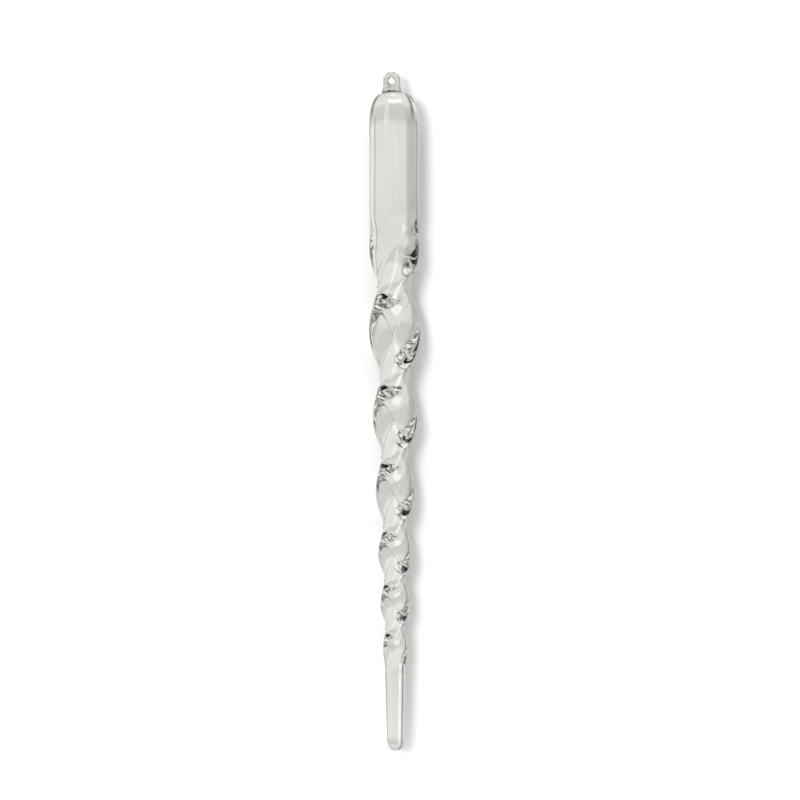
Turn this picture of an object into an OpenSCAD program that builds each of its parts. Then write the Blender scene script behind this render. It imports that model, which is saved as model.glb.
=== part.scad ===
// Icicle hanging ornament: a solid rod of clear glass, drawn out, pressed flat and twisted,
// with a small glass loop fused to its shoulder.
// Frame: +Z up as it hangs, origin at the centre of the loop's eye, the eye's axis along Y.

/* [Loop] */
// Diameter of the eye that the thread or hook goes through
eye_d = 2.5; // [2.2:0.1:3]
// Thickness of the thread of glass that the loop is bent from
loop_rod_d = 2.7; // [2.2:0.1:3]
// Height of the eye's centre above the shoulder
eye_height = 5.8; // [5:0.1:7]
// Spread of the loop's flared foot on the shoulder
loop_foot_w = 8.2; // [7.6:0.1:8.4]
// Distance of the barrel's axis from the eye, along X
barrel_shift = 0.9; // [0:0.1:1.5]

/* [Barrel] */
// Diameter of the smooth barrel
barrel_d = 20.6; // [18:0.1:24]
// Diameter of the flat on top, where the loop is fused
shoulder_flat_d = 10.6; // [10.6:0.1:13]
// Height of the rounded shoulder
shoulder_h = 12; // [6:0.5:14]
// Length of the smooth barrel, from the flat to where the twist starts
barrel_l = 47.6; // [30:0.1:70]

/* [Twist] */
// Width across the two lobes at the first neck
lobe_w_top = 22.8; // [20:0.1:25]
// Width across the two lobes at the last neck
lobe_w_end = 9.6; // [8:0.1:12]
// Thickness of the waist between the lobes at the first neck
waist_top = 14.2; // [11:0.1:16]
// Thickness of the waist between the lobes at the last neck
waist_end = 7; // [5:0.1:8]
// How flat or hollow the sides of the section are: 0 is an ellipse, 0.2 is flat
side_pinch = 0.08; // [0:0.01:0.4]
// How pointed the lobes are: 0 is round
lobe_point = 0.2; // [0:0.01:0.4]
// How far the lobes lean to one side
lean = 0.08; // [0:0.01:0.2]

/* [Tip] */
// Length of the plain tip below the twist
tip_l = 29.9; // [15:0.1:45]
// Diameter of the tip where it leaves the twist
tip_d_top = 8.2; // [7:0.1:9]
// Diameter of the tip at its rounded end
tip_d_end = 7; // [5:0.1:8]
// Sideways drift of the axis, from the shoulder to the end of the tip
axis_drift = 0.6; // [0:0.1:2]

/* [Hidden] */
$fn = 64;

// Length of each half turn, from the top down: the twist tightens as the rod thins.
half_turns = [32, 38, 32, 29, 22, 20, 20];
turn_count = len(half_turns);
twist_l = length_to(turn_count);
body_l = barrel_l + twist_l + tip_l;
shoulder_z = -eye_height;

// The rod is round until the twist starts. It is pressed to its full flatness in the first
// half turn, and its lobes reach their full width half a half turn later.
press_end = 1;
swell_start = 0.5;
swell_end = 1.5;
// It goes back to round in the last part of the twist.
round_start = turn_count - 0.7;

sides = 36;
rings_per_half_turn = 12;
shoulder_rings = 8;
barrel_rings = 3;
tip_rings = 4;
end_rings = 6;

function lerp(a, b, t) = a + (b - a) * t;
function smooth(a, b, v) = let (t = min(1, max(0, (v - a) / (b - a)))) t * t * (3 - 2 * t);

// Length of the first k whole half turns.
function length_to(k) = k <= 0 ? 0 : half_turns[k - 1] + length_to(k - 1);

// Local length of a half turn where half turn k begins: the mean of its neighbours.
function pitch_at(k) =
    (half_turns[max(0, k - 1)] + half_turns[min(turn_count - 1, k)]) / 2;

// Distance below the start of the twist after n half turns, on a smooth curve through them.
function twist_depth(n) =
    let (k = min(turn_count - 1, floor(n)), t = n - k)
    length_to(k) + pitch_at(k) * t * (1 - t) * (1 - t)
    + half_turns[k] * t * t * (3 - 2 * t) - pitch_at(k + 1) * t * t * (1 - t);

// Half width and half thickness of the section after n half turns.
function lobe_r(n) =
    let (along = (twist_depth(n) - half_turns[0]) / (twist_l - half_turns[0]),
         lobed = lerp(barrel_d / 2, lerp(lobe_w_top, lobe_w_end, along) / 2,
                      smooth(swell_start, swell_end, n)))
    lerp(lobed, tip_d_top / 2, smooth(round_start, turn_count, n));
function waist_r(n) =
    let (along = (twist_depth(n) - half_turns[0]) / (twist_l - half_turns[0]),
         pressed = lerp(barrel_d / 2, lerp(waist_top, waist_end, along) / 2,
                        smooth(0, press_end, n)))
    lerp(pressed, tip_d_top / 2, smooth(round_start, turn_count, n));
// 0 where the rod is round, 1 where it is fully pressed.
function flatness(n) = smooth(0, press_end, n) * (1 - smooth(round_start, turn_count, n));

// A ring is [depth below the shoulder, half width, half thickness, flatness, turn angle].
function round_ring(depth, r) = [depth, r, r, 0, 0];
flat_r = shoulder_flat_d / 2;
end_r = tip_d_end / 2;
rings = concat(
    [for (i = [0:shoulder_rings])
        let (a = 90 * i / shoulder_rings)
        round_ring(shoulder_h * (1 - cos(a)), flat_r + (barrel_d / 2 - flat_r) * sin(a))],
    [for (i = [1:barrel_rings])
        round_ring(lerp(shoulder_h, barrel_l, i / (barrel_rings + 1)), barrel_d / 2)],
    [for (i = [0:turn_count * rings_per_half_turn])
        let (n = i / rings_per_half_turn)
        [barrel_l + twist_depth(n), lobe_r(n), waist_r(n), flatness(n), 90 - 180 * n]],
    [for (i = [1:tip_rings])
        round_ring(lerp(barrel_l + twist_l, body_l - end_r, i / tip_rings),
                   lerp(tip_d_top, tip_d_end, i / tip_rings) / 2)],
    [for (i = [1:end_rings])
        let (a = 85 * i / end_rings)
        round_ring(body_l - end_r * (1 - sin(a)), end_r * cos(a))]);

// One point of a ring: a section with two lobes, turned by the ring's angle.
function ring_point(ring, a) =
    let (flat = ring[3],
         pinch = side_pinch * flat,
         x = ring[1] * sign(cos(a)) * pow(abs(cos(a)), 1 + lobe_point * flat),
         y = ring[2] * sin(a) * (1 + pinch * cos(2 * a)) / (1 - pinch) * (1 - lean * flat * sin(2 * a)),
         turn = ring[4])
    [barrel_shift + axis_drift * ring[0] / body_l + x * cos(turn) - y * sin(turn),
     x * sin(turn) + y * cos(turn),
     shoulder_z - ring[0]];

module skin(rings) {
    points = [for (ring = rings) for (i = [0:sides - 1])
                 // Rings start at the same side of the rod, whatever their turn angle.
                 ring_point(ring, 360 * i / sides - ring[4])];
    last = (len(rings) - 1) * sides;
    top_face = [for (i = [sides - 1:-1:0]) i];
    end_face = [for (i = [0:sides - 1]) last + i];
    side_faces = [for (k = [0:len(rings) - 2]) for (i = [0:sides - 1])
        let (a = k * sides + i, b = k * sides + (i + 1) % sides)
        for (face = [[a, b, b + sides], [a, b + sides, a + sides]]) face];
    polyhedron(points, concat([top_face, end_face], side_faces), convexity = 6);
}

module icicle_body() {
    color([0.87, 0.88, 0.86]) skin(rings);
}

rod_r = loop_rod_d / 2;
// The rod's centre line lies just outside the eye, so that the eye has a short straight wall.
eye_land = 0.3;
loop_r = eye_d / 2 + rod_r - eye_land;
// The loop's two limbs thicken downwards and stand in one round foot.
limb_top_r = 1.3;
limb_base_r = 1.75;
limb_x = 2.6;
limb_h = eye_height - 0.5;
web_t = 1.6;
foot_h = 1.2;
foot_top_r = 3.1;

module limb(side) {
    translate([side * limb_x, 0, shoulder_z])
        cylinder(r1 = limb_base_r, r2 = limb_top_r, h = limb_h);
}

module hanging_loop() {
    color([0.8, 0.84, 0.83])
    difference() {
        union() {
            rotate([90, 0, 0]) rotate_extrude() translate([loop_r, 0]) circle(r = rod_r);
            limb(-1);
            limb(1);
            // The web between the limbs closes the loop round the lower half of the eye.
            translate([-limb_x, -web_t / 2, shoulder_z])
                cube([2 * limb_x, web_t, eye_height]);
            translate([0, 0, shoulder_z])
                cylinder(r1 = loop_foot_w / 2, r2 = foot_top_r, h = foot_h);
        }
        rotate([90, 0, 0]) cylinder(r = eye_d / 2, h = 2 * loop_rod_d, center = true);
    }
}

icicle_body();
hanging_loop();
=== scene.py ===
"""Looks of the icicle hanging ornament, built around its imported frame."""
import math

import bpy
import bmesh
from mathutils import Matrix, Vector


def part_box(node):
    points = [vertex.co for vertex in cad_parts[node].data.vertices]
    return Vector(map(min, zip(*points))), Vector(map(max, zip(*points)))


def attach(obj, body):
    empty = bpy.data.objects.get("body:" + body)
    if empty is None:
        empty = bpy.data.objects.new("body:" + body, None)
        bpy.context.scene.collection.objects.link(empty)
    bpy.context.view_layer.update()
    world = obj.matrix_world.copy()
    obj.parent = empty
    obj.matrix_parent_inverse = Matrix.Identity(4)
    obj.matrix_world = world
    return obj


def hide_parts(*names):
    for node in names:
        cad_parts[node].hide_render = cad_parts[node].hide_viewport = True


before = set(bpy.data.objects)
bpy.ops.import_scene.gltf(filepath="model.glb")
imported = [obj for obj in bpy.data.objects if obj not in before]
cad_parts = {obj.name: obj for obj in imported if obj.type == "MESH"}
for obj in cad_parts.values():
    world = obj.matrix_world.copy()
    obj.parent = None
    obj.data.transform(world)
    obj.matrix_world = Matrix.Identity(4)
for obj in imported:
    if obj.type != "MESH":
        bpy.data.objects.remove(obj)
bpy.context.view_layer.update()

MM = 0.001

# The driving dimensions of the CAD source, in millimetres.
EYE_D = 2.5
LOOP_ROD_D = 2.7
EYE_LAND = 0.3
EYE_HEIGHT = 5.8
LIMB_X = 2.6
BARREL_SHIFT = 0.9
BARREL_D = 20.6
SHOULDER_FLAT_D = 10.6
SHOULDER_H = 12
BARREL_L = 47.6
LOBE_W_TOP, LOBE_W_END = 22.8, 9.6
WAIST_TOP, WAIST_END = 14.2, 7.0
SIDE_PINCH = 0.08
LOBE_POINT = 0.2
LEAN = 0.08
TIP_L = 29.9
TIP_D_TOP, TIP_D_END = 8.2, 7.0
AXIS_DRIFT = 0.6
HALF_TURNS = (32, 38, 32, 29, 22, 20, 20)

TURNS = len(HALF_TURNS)
TWIST_L = sum(HALF_TURNS)
BODY_L = BARREL_L + TWIST_L + TIP_L
TIP_CONE_L = TIP_L - TIP_D_END / 2
# In half turns from the start of the twist: the rod is pressed flat by PRESS_END, its lobes
# swell from SWELL_START to SWELL_END, and it goes back to round from ROUND_START.
PRESS_END = 1
SWELL_START, SWELL_END = 0.5, 1.5
ROUND_START = TURNS - 0.7
START_TURN = 90

body_low, body_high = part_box("icicle_body")
loop_low, loop_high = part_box("hanging_loop")
SHOULDER_Z = body_high.z / MM

# The shoulder and the end are rounded over a longer way than in the CAD, so that neither
# starts with a kink: (times the CAD's height, power of the curve).
SHOULDER_EASE, SHOULDER_POWER = 1.5, 3
END_EASE, END_POWER = 2.0, 4

# How finely the swept glass is modelled.
SIDES = 200
RINGS_PER_HALF_TURN = 44
SHOULDER_RINGS, BARREL_RINGS, TIP_RINGS, END_RINGS = 40, 40, 30, 24
# The last ring lies just short of the pole, whose point is a hair above the CAD's lowest one.
END_ANGLE = 86
POLE_GAP = 0.002

# Unevenness left by the working of the hot glass: it only ever takes glass away.
# Each wave is (share of the radius, waves round the section, phase per mm down, phase).
# The barrel's waves fade out over BARREL_WAVE_FADE mm at the flat.
TWIST_WAVES = ((0.004, 5, 0.13, 0.0), (0.0022, 11, -0.21, 1.0), (0.004, 3, 0.07, 2.0))
BARREL_WAVES = ((0.0040, 3, 0.11, 0.4), (0.0028, 5, -0.17, 2.0), (0.0012, 11, 0.05, 0.9))
BARREL_WAVE_FADE = 4
# The axis bows by up to AXIS_BOW mm, to the right and then to the left. Where it crosses over,
# its wavelength, and where it sets in are shares of the body's length.
AXIS_BOW = 0.06
BOW_CROSSING, BOW_WAVELENGTH = 0.58, 0.64
BOW_FROM, BOW_FULL = 0.15, 0.3

# The step that the tool's edge left along each pressed side: shares of the half thickness
# (depth) and of the half width (how sharp it is, and how soon it fades).
STEP_DEPTH = 0.09
STEP_EDGE = 0.03
STEP_FADE = 0.8
# Where the tool was first set down, the step sets in from BITE_TOP to BITE_START mm below the
# start of the twist, is BITE_MORE times as deep, and eases to the usual depth further down
# (BITE_EASE, in lengths of the first half turn).
BITE_TOP, BITE_START = -1, 8
BITE_MORE = 2.6
BITE_EASE = (0.5, 1.2)
# On the other side the step sets in late: its strength is this power of the flatness.
OTHER_BITE_POWER = 4

# The paper behind and below, the key light and the camera: places and sizes in metres, the
# light's power in watts, the lens in mm.
PAPER_Y = 0.012
PAPER_SIZE = 3.0
PAPER_WHITE = 0.59
FLOOR_Z = -0.6
FLOOR_RADIUS = 1.5
FLOOR_WHITE = 0.9
KEY_POWER = 15.0
KEY_SIZE = 0.38
KEY_PLACE = (-0.44, -1.33, 0.03)
MIDDLE = (0, 0, -0.14)
CAMERA_PLACE = (0.0034, -0.779, -0.1318)
CAMERA_LENS = 85


def lerp(a, b, t):
    return a + (b - a) * t


def smooth(a, b, v):
    t = min(1.0, max(0.0, (v - a) / (b - a)))
    return t * t * (3 - 2 * t)


def pitch_at(k):
    """Local length of a half turn where half turn k begins."""
    return (HALF_TURNS[max(0, k - 1)] + HALF_TURNS[min(TURNS - 1, k)]) / 2


def twist_depth(n):
    """Distance below the start of the twist after n half turns, on a smooth curve."""
    k = min(TURNS - 1, int(n))
    t = n - k
    return (sum(HALF_TURNS[:k]) + pitch_at(k) * t * (1 - t) ** 2
            + HALF_TURNS[k] * t * t * (3 - 2 * t) - pitch_at(k + 1) * t * t * (1 - t))


def along_twist(n):
    """0 at the end of the first half turn, 1 at the end of the twist."""
    return (twist_depth(n) - HALF_TURNS[0]) / (TWIST_L - HALF_TURNS[0])


def lobe_r(n):
    """Half the width across the lobes after n half turns, in mm."""
    wide = lerp(LOBE_W_TOP, LOBE_W_END, along_twist(n)) / 2
    lobed = lerp(BARREL_D / 2, wide, smooth(SWELL_START, SWELL_END, n))
    return lerp(lobed, TIP_D_TOP / 2, smooth(ROUND_START, TURNS, n))


def waist_r(n):
    """Half the thickness between the lobes after n half turns, in mm."""
    thin = lerp(WAIST_TOP, WAIST_END, along_twist(n)) / 2
    pressed = lerp(BARREL_D / 2, thin, smooth(0, PRESS_END, n))
    return lerp(pressed, TIP_D_TOP / 2, smooth(ROUND_START, TURNS, n))


def flatness(n):
    """0 where the rod is round, 1 where it is fully pressed."""
    return smooth(0, PRESS_END, n) * (1 - smooth(ROUND_START, TURNS, n))


def swell(t, power):
    """0 to 1 along a curve that starts steep and ends without a kink."""
    return math.sqrt(1 - (1 - t) ** power)


def plain_tip_r(depth):
    """Radius of the plain tip, before its end is rounded."""
    return lerp(TIP_D_TOP, TIP_D_END, min(1, (depth - BARREL_L - TWIST_L) / TIP_CONE_L)) / 2


def body_rings():
    """Rings of (depth, half width, half thickness, flatness, turn angle), from the top down."""
    barrel_r = BARREL_D / 2
    shoulder_h = SHOULDER_EASE * SHOULDER_H
    end_h = END_EASE * TIP_D_END / 2
    end_turn = START_TURN - 180 * TURNS
    rings = []
    for i in range(SHOULDER_RINGS + 1):
        t = 1 - math.cos(math.radians(90 * i / SHOULDER_RINGS))
        r = lerp(SHOULDER_FLAT_D / 2, barrel_r, swell(t, SHOULDER_POWER))
        rings.append((shoulder_h * t, r, r, 0, START_TURN))
    for i in range(1, BARREL_RINGS):
        depth = lerp(shoulder_h, BARREL_L, i / BARREL_RINGS)
        rings.append((depth, barrel_r, barrel_r, 0, START_TURN))
    for i in range(TURNS * RINGS_PER_HALF_TURN + 1):
        n = i / RINGS_PER_HALF_TURN
        rings.append((BARREL_L + twist_depth(n), lobe_r(n), waist_r(n), flatness(n),
                      START_TURN - 180 * n))
    for i in range(1, TIP_RINGS + 1):
        depth = lerp(BARREL_L + TWIST_L, BODY_L - end_h, i / TIP_RINGS)
        rings.append((depth, plain_tip_r(depth), plain_tip_r(depth), 0, end_turn))
    for i in range(1, END_RINGS + 1):
        t = math.sin(math.radians(END_ANGLE * i / END_RINGS))
        depth = BODY_L - end_h * (1 - t)
        r = plain_tip_r(depth) * swell(1 - t, END_POWER)
        rings.append((depth, r, r, 0, end_turn))
    return rings


def waviness(waves, a, depth):
    """A share of the radius to take away, between 0 and twice the sum of the waves."""
    return sum(size * (1 + math.sin(count * a + slope * depth + phase))
               for size, count, slope, phase in waves)


def axis_x(depth):
    """The axis's place along X, in mm."""
    s = depth / BODY_L
    bow = math.sin(math.pi * s) * math.sin(2 * math.pi * (BOW_CROSSING - s) / BOW_WAVELENGTH)
    return BARREL_SHIFT + AXIS_DRIFT * s + AXIS_BOW * bow * smooth(BOW_FROM, BOW_FULL, s)


def first_bite(depth):
    """Strength of the step on the side where the tool was set down first."""
    down = depth - BARREL_L
    eased = lerp(BITE_MORE, 1, smooth(*BITE_EASE, down / HALF_TURNS[0]))
    ending = smooth(-(TURNS - ROUND_START) * HALF_TURNS[-1], 0, down - TWIST_L)
    return smooth(BITE_TOP, BITE_START, down) * eased * (1 - ending)


def section_point(ring, azimuth):
    """A point of a ring: a section with two lobes, worn and stepped, turned by the ring's angle."""
    depth, half_w, half_t, flat, turn = ring
    a = azimuth - math.radians(turn)
    pinch = SIDE_PINCH * flat
    worn = 1 - flat * waviness(TWIST_WAVES, a, depth)
    worn -= (1 - flat) * waviness(BARREL_WAVES, azimuth, depth) * smooth(0, BARREL_WAVE_FADE, depth)
    x = half_w * math.copysign(abs(math.cos(a)) ** (1 + LOBE_POINT * flat), math.cos(a)) * worn
    y = half_t * math.sin(a) * (1 + pinch * math.cos(2 * a)) / (1 - pinch) * worn
    y *= 1 - LEAN * flat * math.sin(2 * a)
    # Each pressed side has one soft step near its middle, where the tool's edge bit in.
    past_step = -math.cos(a) * math.copysign(1, math.sin(a))
    step = smooth(0, STEP_EDGE, past_step) * math.exp(-max(0, past_step) / STEP_FADE)
    bite = first_bite(depth) if math.sin(a) < 0 else flat ** OTHER_BITE_POWER
    y *= 1 - bite * STEP_DEPTH * step * abs(math.sin(a))
    c, s = math.cos(math.radians(turn)), math.sin(math.radians(turn))
    return Vector((axis_x(depth) + x * c - y * s, x * s + y * c, SHOULDER_Z - depth)) * MM


def finish_mesh(name, bm):
    """An object with smooth shading, made from a bmesh."""
    mesh = bpy.data.meshes.new(name)
    bmesh.ops.recalc_face_normals(bm, faces=bm.faces)
    bm.to_mesh(mesh)
    bm.free()
    for poly in mesh.polygons:
        poly.use_smooth = True
    obj = bpy.data.objects.new(name, mesh)
    bpy.context.scene.collection.objects.link(obj)
    return obj


# --- the hanging loop: a thread of hot glass, bent over and pressed down on the shoulder ---

LOOP_VOXEL = 0.11
MELT_PASSES = 6
# Dents left by the tool, which fade out over DENT_FADE mm at the foot. Each wave is (phase per mm
# along X, Z and Y, phase); the first two cross, and the third is added by its share.
LOOP_DENT = 0.19
DENT_FADE = 1.2
DENT_LEVEL = 1.2
DENT_WAVES = ((3.1, 2.3, 0, 0.8), (0, 2.2, -3.4, 0.3), (4.6, -3.9, 2.6, 0))
THIRD_WAVE = 0.6
# How far the loop's own glass reaches below the shoulder before it is trimmed off flush.
ROOT_DEPTH = 0.6
ROOT_Z = -EYE_HEIGHT - ROOT_DEPTH
# The thread's radii at the crown, at the top of the limbs and at their feet, and its unevenness.
CROWN_R = 1.38
LIMB_TOP_R, LIMB_FOOT_R = 1.28, 1.72
CROWN_RIPPLE = 0.10
# The limbs stand a little further apart than in the CAD, and out of line with each other.
LIMB_OUT = 0.05
LIMB_SKEW = 0.12
# How each limb bends outwards, as a power, and where along it the thread's thickness changes.
LEFT_BEND, RIGHT_BEND = 0.8, 1.2
LEFT_TAPER, RIGHT_TAPER = (0.0, 0.8), (0.2, 1.0)
LIMB_STEPS, CROWN_STEPS = 12, 24
# The web under the eye and the flared foot: (x, z, radius), from the root up.
WEB = ((0, ROOT_Z, 2.6), (0, -3.6, 2.3), (0.05, -2.2, 2.0), (0.1, -1.35, 1.6))
WEB_SQUASH = 0.42
FOOT = ((0, ROOT_Z, 4.2), (0, -EYE_HEIGHT, 3.95), (0, -EYE_HEIGHT + 0.5, 3.3),
        (0, -EYE_HEIGHT + 1.4, 2.2))


def tube(bm, path, radii, sides=28, squash=1.0):
    """A closed tube along a path of points, squashed along Y."""
    rows = []
    for i, (p, r) in enumerate(zip(path, radii)):
        ahead = path[min(i + 1, len(path) - 1)] - path[max(i - 1, 0)]
        side = ahead.normalized().cross(Vector((0, 1, 0))).normalized()
        up = side.cross(ahead.normalized())
        row = []
        for k in range(sides):
            t = 2 * math.pi * k / sides
            reach = side * r * math.cos(t) + up * r * math.sin(t)
            reach.y *= squash
            row.append(bm.verts.new((p + reach) * MM))
        rows.append(row)
    for a, b in zip(rows, rows[1:]):
        for k in range(sides):
            m = (k + 1) % sides
            bm.faces.new((a[k], a[m], b[m], b[k]))
    bm.faces.new(rows[0])
    bm.faces.new(rows[-1])


def thread():
    """The centre line and radii of the bent thread, from the left foot over to the right one."""
    bend = EYE_D / 2 + LOOP_ROD_D / 2 - EYE_LAND
    spread = LIMB_X + LIMB_OUT
    path = []
    radii = []
    for i in range(LIMB_STEPS + 1):
        t = i / LIMB_STEPS
        path.append(Vector((lerp(-spread, -bend, t ** LEFT_BEND), LIMB_SKEW, lerp(ROOT_Z, 0, t))))
        radii.append(lerp(LIMB_FOOT_R, LIMB_TOP_R, smooth(*LEFT_TAPER, t)))
    for i in range(1, CROWN_STEPS + 1):
        t = math.pi * i / CROWN_STEPS
        path.append(Vector((-bend * math.cos(t), LIMB_SKEW * math.cos(t), bend * math.sin(t))))
        radii.append(lerp(LIMB_TOP_R, CROWN_R, math.sin(t)) + CROWN_RIPPLE * math.sin(3 * t))
    for i in range(1, LIMB_STEPS + 1):
        t = i / LIMB_STEPS
        path.append(Vector((lerp(bend, spread, t ** RIGHT_BEND), -LIMB_SKEW, lerp(0, ROOT_Z, t))))
        radii.append(lerp(LIMB_TOP_R, LIMB_FOOT_R, smooth(*RIGHT_TAPER, t)))
    return path, radii


def upright(bm, stations, sides, squash=1.0):
    """A tube through stations of (x, z, radius)."""
    tube(bm, [Vector((x, 0, z)) for x, z, _ in stations], [r for _, _, r in stations], sides, squash)


def loop_solids():
    """Overlapping solids of the loop, before they are melted into one."""
    bm = bmesh.new()
    tube(bm, *thread())
    upright(bm, WEB, sides=40, squash=WEB_SQUASH)
    upright(bm, FOOT, sides=48)
    return finish_mesh("loop_solids", bm)


def melted(obj, voxel):
    """The union of a piece's overlapping solids as one smooth surface."""
    remesh = obj.modifiers.new("melt", "REMESH")
    remesh.mode = "VOXEL"
    remesh.voxel_size = voxel * MM
    shape = obj.evaluated_get(bpy.context.evaluated_depsgraph_get()).to_mesh()
    bm = bmesh.new()
    bm.from_mesh(shape)
    bpy.data.objects.remove(obj)
    for _ in range(MELT_PASSES):
        bmesh.ops.smooth_vert(bm, verts=bm.verts, factor=0.5, use_axis_x=True, use_axis_y=True,
                              use_axis_z=True)
    return bm


def dent(x, y, z):
    """Depth of the tool's dents at a point, as a share of LOOP_DENT."""
    first, second, third = (math.sin(a * x + c * z + b * y + phase)
                            for a, c, b, phase in DENT_WAVES)
    return DENT_LEVEL + (first * second + THIRD_WAVE * third)


def make_loop():
    """The loop, open below, and the outline where it meets the shoulder."""
    bm = melted(loop_solids(), LOOP_VOXEL)
    for vert in bm.verts:
        x, y, z = vert.co / MM
        fade = smooth(-EYE_HEIGHT, -EYE_HEIGHT + DENT_FADE, z)
        vert.co -= vert.normal * (LOOP_DENT * dent(x, y, z)) * fade * MM
    level = Vector((0, 0, loop_low.z))
    cut = bmesh.ops.bisect_plane(bm, geom=bm.verts[:] + bm.edges[:] + bm.faces[:],
                                 plane_co=level, plane_no=(0, 0, 1), clear_inner=True)
    edges = [e for e in cut["geom_cut"] if isinstance(e, bmesh.types.BMEdge)]
    for vert in {v for e in edges for v in e.verts}:
        vert.co.z = level.z
    outline = [tuple(v.co.copy() for v in e.verts) for e in edges]
    return finish_mesh("loop_glass_piece", bm), outline


# --- the body ---

def make_body(outline):
    """The body, its flat top left open inside the outline where the loop is fused on."""
    bm = bmesh.new()
    rings = body_rings()
    # The columns of points wind round with the twist, so that its creases stay clean.
    rows = [[bm.verts.new(section_point(r, 2 * math.pi * i / SIDES + math.radians(r[-1])))
             for i in range(SIDES)] for r in rings]
    for upper, lower in zip(rows, rows[1:]):
        for i in range(SIDES):
            j = (i + 1) % SIDES
            bm.faces.new((upper[i], upper[j], lower[j], lower[i]))
    depth = SHOULDER_Z - body_low.z / MM - POLE_GAP
    tip = bm.verts.new(Vector((axis_x(depth), 0, SHOULDER_Z - depth)) * MM)
    for i in range(SIDES):
        bm.faces.new((rows[-1][i], rows[-1][(i + 1) % SIDES], tip))
    known = {}
    border = []
    for ends in outline:
        for co in ends:
            if tuple(co) not in known:
                known[tuple(co)] = bm.verts.new(co)
        border.append(bm.edges.new([known[tuple(co)] for co in ends]))
    top = rows[0]
    for i in range(SIDES):
        border.append(bm.edges.get((top[i], top[(i + 1) % SIDES])))
    bmesh.ops.triangle_fill(bm, use_beauty=True, edges=border, normal=(0, 0, 1))
    return finish_mesh("icicle_glass", bm)


# --- materials ---

IOR = 1.5
TINT_SCALE = 60.0
TINT_STOPS = ((0.35, (0.99, 0.985, 0.97, 1)), (0.65, (1.0, 0.99, 0.98, 1)))
# The polish: scale and stretch of its noise, the span of the noise that counts, and the
# roughness at both ends of it.
POLISH_SCALE, POLISH_STRETCH = 140.0, (1, 1, 0.3)
POLISH_SPAN = (0.35, 0.70)
POLISH = (0.0, 0.035)
# The fine relief of each piece: scale and stretch of its noise, and its height in mm. The
# body's is drawn out into faint lines along its length.
RELIEF_DETAIL = 3.0
BODY_RELIEF = (700.0, (1, 1, 0.06), 0.0008)
LOOP_RELIEF = (520.0, (1, 1, 1), 0.13)
# Paper: scale, stretch and detail of its fibres, their lightness, and the height of the grain.
FIBRE = (900.0, (1, 1, 3), 4.0)
FIBRE_SHADES = ((0.3, 0.985), (0.7, 1.0))
GRAIN_STRENGTH, GRAIN_HEIGHT = 0.3, 0.02


def noise_node(nt, scale, stretch=(1, 1, 1), detail=2.0):
    """Noise fixed to the object, as a value around a half."""
    coord = nt.nodes.new("ShaderNodeTexCoord")
    mapping = nt.nodes.new("ShaderNodeMapping")
    mapping.inputs["Scale"].default_value = stretch
    nt.links.new(coord.outputs["Object"], mapping.inputs["Vector"])
    noise = nt.nodes.new("ShaderNodeTexNoise")
    noise.inputs["Scale"].default_value = scale
    noise.inputs["Detail"].default_value = detail
    nt.links.new(mapping.outputs[0], noise.inputs["Vector"])
    return noise.outputs["Fac"]


def map_range(nt, value, start, end, low=0.0, high=1.0):
    node = nt.nodes.new("ShaderNodeMapRange")
    node.inputs["From Min"].default_value = start
    node.inputs["From Max"].default_value = end
    node.inputs["To Min"].default_value = low
    node.inputs["To Max"].default_value = high
    nt.links.new(value, node.inputs["Value"])
    return node


def bump(nt, height, strength, distance, bsdf):
    node = nt.nodes.new("ShaderNodeBump")
    node.inputs["Strength"].default_value = strength
    node.inputs["Distance"].default_value = distance * MM
    nt.links.new(height, node.inputs["Height"])
    nt.links.new(node.outputs["Normal"], bsdf.inputs["Normal"])


def colour_ramp(nt, source, stops):
    node = nt.nodes.new("ShaderNodeValToRGB")
    nt.links.new(source, node.inputs["Fac"])
    for element, (place, colour) in zip(node.color_ramp.elements, stops):
        element.position = place
        element.color = colour
    return node.outputs["Color"]


def glass(name, relief):
    """Clear glass, with a faint uneven tint, a slightly uneven polish and a fine relief."""
    scale, stretch, height = relief
    mat = bpy.data.materials.new(name)
    mat.use_nodes = True
    nt = mat.node_tree
    bsdf = nt.nodes["Principled BSDF"]
    bsdf.inputs["Transmission Weight"].default_value = 1
    bsdf.inputs["IOR"].default_value = IOR
    tint = noise_node(nt, TINT_SCALE)
    nt.links.new(colour_ramp(nt, tint, TINT_STOPS), bsdf.inputs["Base Color"])
    uneven = noise_node(nt, POLISH_SCALE, POLISH_STRETCH)
    polish = map_range(nt, uneven, *POLISH_SPAN, *POLISH)
    nt.links.new(polish.outputs["Result"], bsdf.inputs["Roughness"])
    bump(nt, noise_node(nt, scale, stretch, RELIEF_DETAIL), 1.0, height, bsdf)
    return mat


def paper_material(name, white):
    """Matt paper, with a faint grain of fibres."""
    mat = bpy.data.materials.new(name)
    mat.use_nodes = True
    nt = mat.node_tree
    bsdf = nt.nodes["Principled BSDF"]
    bsdf.inputs["Roughness"].default_value = 1.0
    bsdf.inputs["Specular IOR Level"].default_value = 0.0
    fibre = noise_node(nt, *FIBRE)
    shades = [(place, (white * k, white * k, white * k, 1)) for place, k in FIBRE_SHADES]
    nt.links.new(colour_ramp(nt, fibre, shades), bsdf.inputs["Base Color"])
    bump(nt, fibre, GRAIN_STRENGTH, GRAIN_HEIGHT, bsdf)
    return mat


# --- the studio, which shows in the glass and helps to light the paper ---

# By compass bearing: (degrees to the left of straight behind, brightness), each held until the
# next one with a slope of EDGE degrees to each side of the change.
BEARINGS = (
    (-180, .50), (-118, .52), (-96, .84), (-84, .78), (-66, .66),
    (-58, .90), (-42, .45), (-37, .76), (21, .52), (54, .24), (63, .78), (100, .50), (180, .50),
)
LOW_BEARINGS = (
    (-180, .50), (-118, .52), (-92, .85), (-62, .25), (-52, .85), (-36, .80), (31, .62),
    (36, .14), (43, .60), (50, .90), (100, .50), (180, .50),
)
EDGE = 2.5
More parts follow.
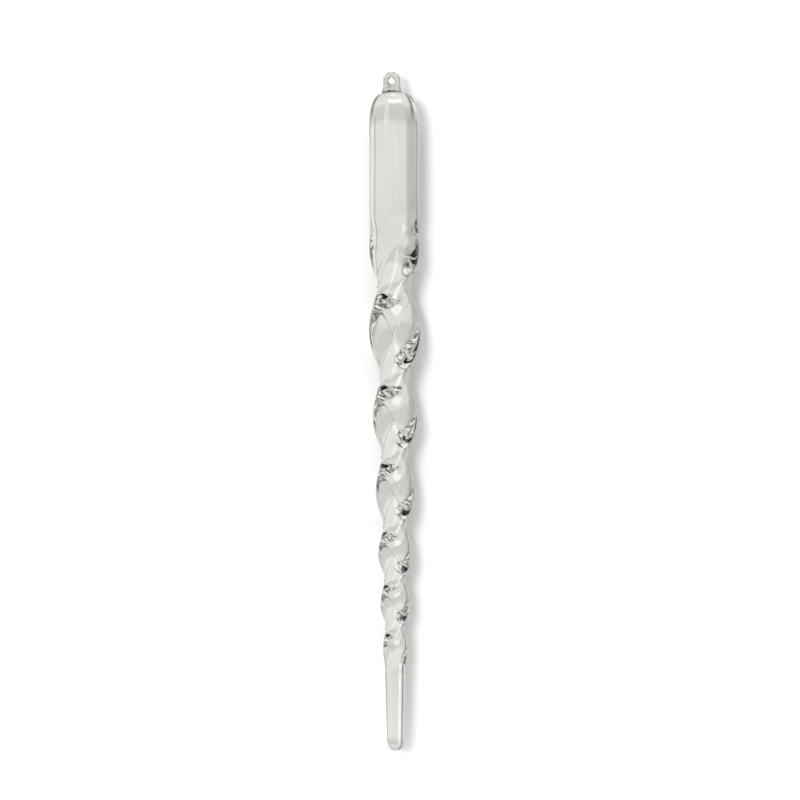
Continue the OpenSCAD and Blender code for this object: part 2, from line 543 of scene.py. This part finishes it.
# The low pattern takes over from the other between these elevations.
LOW_BELOW = (5.0, -4.0)
# And by height: (elevation in degrees, brightness).
HEIGHTS = ((-90, .95), (-50, .95), (-36, .95), (-12, 1.02), (-8.5, 1.0), (-5, .80), (3.5, .80),
           (6.5, 1.0), (26, .95), (46, .85), (90, .7))
# The camera's side of the studio is cluttered with dark, grey and white patches: (noise,
# brightness). They fade in over CLUTTER_SPAN, a span of the direction's Y.
CLUTTER = ((0.0, .05), (.40, .10), (.46, .30), (.51, .58), (.55, .52), (.59, .92), (1.0, 1.0))
CLUTTER_SPAN = (.36, .0)
CLUTTER_SCALE = 3.2
CLUTTER_DETAIL = 1.5
CLUTTER_WARP = 1.6
CLUTTER_STRETCH = (.9, .9, 2.0)
# Softboxes: (bearing to the right of the camera, elevation), half widths of both, strength.
# Each fades out over SOFT_RIM degrees.
SOFTBOXES = (
    ((4, 46), (40, 0.5), 10.0),
    ((0, 78), (70, 6), 3.0),
    ((-38, 24), (9, 9), 3.0),
    ((58, -22), (14, 12), 5.0),
)
SOFT_RIM = 7.0
WARMTH = (1, 0.985, 0.95, 1)


def ramp_node(nt, source, stops, low, high):
    """Grey by the value of the source, through the stops, which lie in low..high."""
    node = nt.nodes.new("ShaderNodeValToRGB")
    nt.links.new(map_range(nt, source, low, high).outputs["Result"], node.inputs["Fac"])
    elements = node.color_ramp.elements
    while len(elements) < len(stops):
        elements.new(0.5)
    for element, (place, value) in zip(elements, stops):
        element.position = (place - low) / (high - low)
        element.color = (value, value, value, 1)
    return node.outputs["Color"]


def steps(stops, edge):
    """Each value held until the next place, with a short slope between."""
    out = [stops[0]]
    for (_, before), (place, after) in zip(stops, stops[1:]):
        out += [(place - edge, before), (place + edge, after)]
    return out[:-1]


def plug(nt, value, socket):
    """Link a node's output to a socket, or set the socket to a constant."""
    if isinstance(value, bpy.types.NodeSocket):
        nt.links.new(value, socket)
    else:
        socket.default_value = value


def math_node(nt, operation, a, b=None):
    node = nt.nodes.new("ShaderNodeMath")
    node.operation = operation
    plug(nt, a, node.inputs[0])
    if b is not None:
        plug(nt, b, node.inputs[1])
    return node.outputs[0]


def mix_colours(nt, blend, factor, a, b):
    node = nt.nodes.new("ShaderNodeMix")
    node.data_type = "RGBA"
    node.blend_type = blend
    for name, value in (("Factor", factor), ("A", a), ("B", b)):
        plug(nt, value, node.inputs[name])
    return node.outputs["Result"]


def bearing_of(nt, across, ahead):
    """Angle from ahead towards across, in degrees."""
    return math_node(nt, "DEGREES", math_node(nt, "ARCTAN2", across, ahead))


def room_colour(nt, split, height):
    """Brightness of the studio's walls by bearing and height."""
    to_left = math_node(nt, "MULTIPLY", split.outputs["X"], -1.0)
    bearing = bearing_of(nt, to_left, split.outputs["Y"])
    lower = map_range(nt, height, *LOW_BELOW)
    level = ramp_node(nt, bearing, steps(BEARINGS, EDGE), -180, 180)
    low = ramp_node(nt, bearing, steps(LOW_BEARINGS, EDGE), -180, 180)
    around = mix_colours(nt, "MIX", lower.outputs["Result"], level, low)
    return mix_colours(nt, "MULTIPLY", 1.0, around, ramp_node(nt, height, HEIGHTS, -90, 90))


def with_clutter(nt, coord, split, colour):
    """The clutter laid over the camera's half of the studio."""
    stretch = nt.nodes.new("ShaderNodeMapping")
    stretch.inputs["Scale"].default_value = CLUTTER_STRETCH
    nt.links.new(coord.outputs["Generated"], stretch.inputs["Vector"])
    noise = nt.nodes.new("ShaderNodeTexNoise")
    noise.inputs["Scale"].default_value = CLUTTER_SCALE
    noise.inputs["Detail"].default_value = CLUTTER_DETAIL
    noise.inputs["Distortion"].default_value = CLUTTER_WARP
    nt.links.new(stretch.outputs[0], noise.inputs["Vector"])
    patches = ramp_node(nt, noise.outputs["Fac"], CLUTTER, 0, 1)
    facing = map_range(nt, split.outputs["Y"], *CLUTTER_SPAN)
    return mix_colours(nt, "MIX", facing.outputs["Result"], colour, patches)


def within(nt, angle, middle, half):
    """1 within half of the middle, falling softly to 0 over SOFT_RIM degrees."""
    off = math_node(nt, "ABSOLUTE", math_node(nt, "SUBTRACT", angle, float(middle)))
    edge = map_range(nt, off, half + SOFT_RIM, half)
    edge.interpolation_type = "SMOOTHSTEP"
    return edge.outputs["Result"]


def softbox_glow(nt, split, height):
    """The softboxes light the paper and show where the outside of the glass mirrors them."""
    backward = math_node(nt, "MULTIPLY", split.outputs["Y"], -1.0)
    right = bearing_of(nt, split.outputs["X"], backward)
    glow = 0.0
    for (across, up), (half_across, half_up), strength in SOFTBOXES:
        box = math_node(nt, "MULTIPLY", within(nt, right, across, half_across),
                        within(nt, height, up, half_up))
        glow = math_node(nt, "ADD", math_node(nt, "MULTIPLY", box, strength), glow)
    path = nt.nodes.new("ShaderNodeLightPath")
    outside = math_node(nt, "SUBTRACT", 1.0, path.outputs["Is Transmission Ray"])
    return math_node(nt, "MULTIPLY", glow, outside)


def make_world():
    """White to the camera, and a drawn studio to everything else."""
    world = bpy.data.worlds.new("studio")
    bpy.context.scene.world = world
    world.use_nodes = True
    nt = world.node_tree
    nt.nodes.clear()
    coord = nt.nodes.new("ShaderNodeTexCoord")
    split = nt.nodes.new("ShaderNodeSeparateXYZ")
    nt.links.new(coord.outputs["Generated"], split.inputs[0])
    height = math_node(nt, "DEGREES", math_node(nt, "ARCSINE", split.outputs["Z"]))
    room = with_clutter(nt, coord, split, room_colour(nt, split, height))
    warm = mix_colours(nt, "MULTIPLY", 1.0, room, WARMTH)
    lit = mix_colours(nt, "ADD", 1.0, warm, softbox_glow(nt, split, height))
    studio = nt.nodes.new("ShaderNodeBackground")
    nt.links.new(lit, studio.inputs["Color"])
    seen = nt.nodes.new("ShaderNodeBackground")
    seen.inputs["Color"].default_value = (1, 1, 1, 1)
    path = nt.nodes.new("ShaderNodeLightPath")
    mix = nt.nodes.new("ShaderNodeMixShader")
    nt.links.new(path.outputs["Is Camera Ray"], mix.inputs[0])
    nt.links.new(studio.outputs[0], mix.inputs[1])
    nt.links.new(seen.outputs[0], mix.inputs[2])
    out = nt.nodes.new("ShaderNodeOutputWorld")
    nt.links.new(mix.outputs[0], out.inputs[0])


# --- paper, light and camera ---

def hide_from_glass(obj):
    """The glass neither mirrors the object nor shows it through itself."""
    obj.visible_transmission = False
    obj.visible_glossy = False


def make_key():
    data = bpy.data.lights.new("key", "AREA")
    data.shape = "RECTANGLE"
    data.size = KEY_SIZE
    data.size_y = KEY_SIZE
    data.energy = KEY_POWER
    key = bpy.data.objects.new("key", data)
    bpy.context.scene.collection.objects.link(key)
    key.location = KEY_PLACE
    toward = Vector(MIDDLE) - Vector(KEY_PLACE)
    key.rotation_euler = toward.to_track_quat("-Z", "Y").to_euler()
    hide_from_glass(key)


def make_floor():
    bpy.ops.mesh.primitive_circle_add(vertices=96, radius=FLOOR_RADIUS, fill_type="NGON",
                                      location=(0, 0, FLOOR_Z))
    floor = bpy.context.object
    floor.name = "floor"
    floor.data.materials.append(paper_material("floor_paper", FLOOR_WHITE))
    hide_from_glass(floor)


def make_backdrop():
    """White paper close behind the ornament, which carries its soft shadow."""
    bpy.ops.mesh.primitive_plane_add(size=PAPER_SIZE, location=(0, PAPER_Y, MIDDLE[2]),
                                     rotation=(math.radians(90), 0, 0))
    paper = bpy.context.object
    paper.name = "backdrop"
    mat = paper_material("backdrop_paper", PAPER_WHITE)
    nt = mat.node_tree
    bsdf = nt.nodes["Principled BSDF"]
    # Seen from behind, the paper is clear, so that it never hides the ornament.
    side = nt.nodes.new("ShaderNodeNewGeometry")
    clear = nt.nodes.new("ShaderNodeBsdfTransparent")
    mix = nt.nodes.new("ShaderNodeMixShader")
    nt.links.new(side.outputs["Backfacing"], mix.inputs[0])
    nt.links.new(bsdf.outputs[0], mix.inputs[1])
    nt.links.new(clear.outputs[0], mix.inputs[2])
    nt.links.new(mix.outputs[0], nt.nodes["Material Output"].inputs["Surface"])
    paper.data.materials.append(mat)
    hide_from_glass(paper)


def make_camera():
    data = bpy.data.cameras.new("camera")
    data.lens = CAMERA_LENS
    data.sensor_width = 36
    data.clip_end = 20
    cam = bpy.data.objects.new("camera", data)
    bpy.context.scene.collection.objects.link(cam)
    cam.location = CAMERA_PLACE
    cam.rotation_euler = (math.radians(90), 0, 0)
    bpy.context.scene.camera = cam


bpy.context.scene.view_settings.view_transform = "Standard"
make_camera()
make_world()
make_floor()
make_backdrop()
make_key()

loop, outline = make_loop()
loop.data.materials.append(glass("loop_glass", LOOP_RELIEF))
body = make_body(outline)
body.data.materials.append(glass("body_glass", BODY_RELIEF))
for piece, node, slot in ((body, "icicle_body", "body_glass"), (loop, "hanging_loop", "loop_glass")):
    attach(piece, "root")
    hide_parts(node)
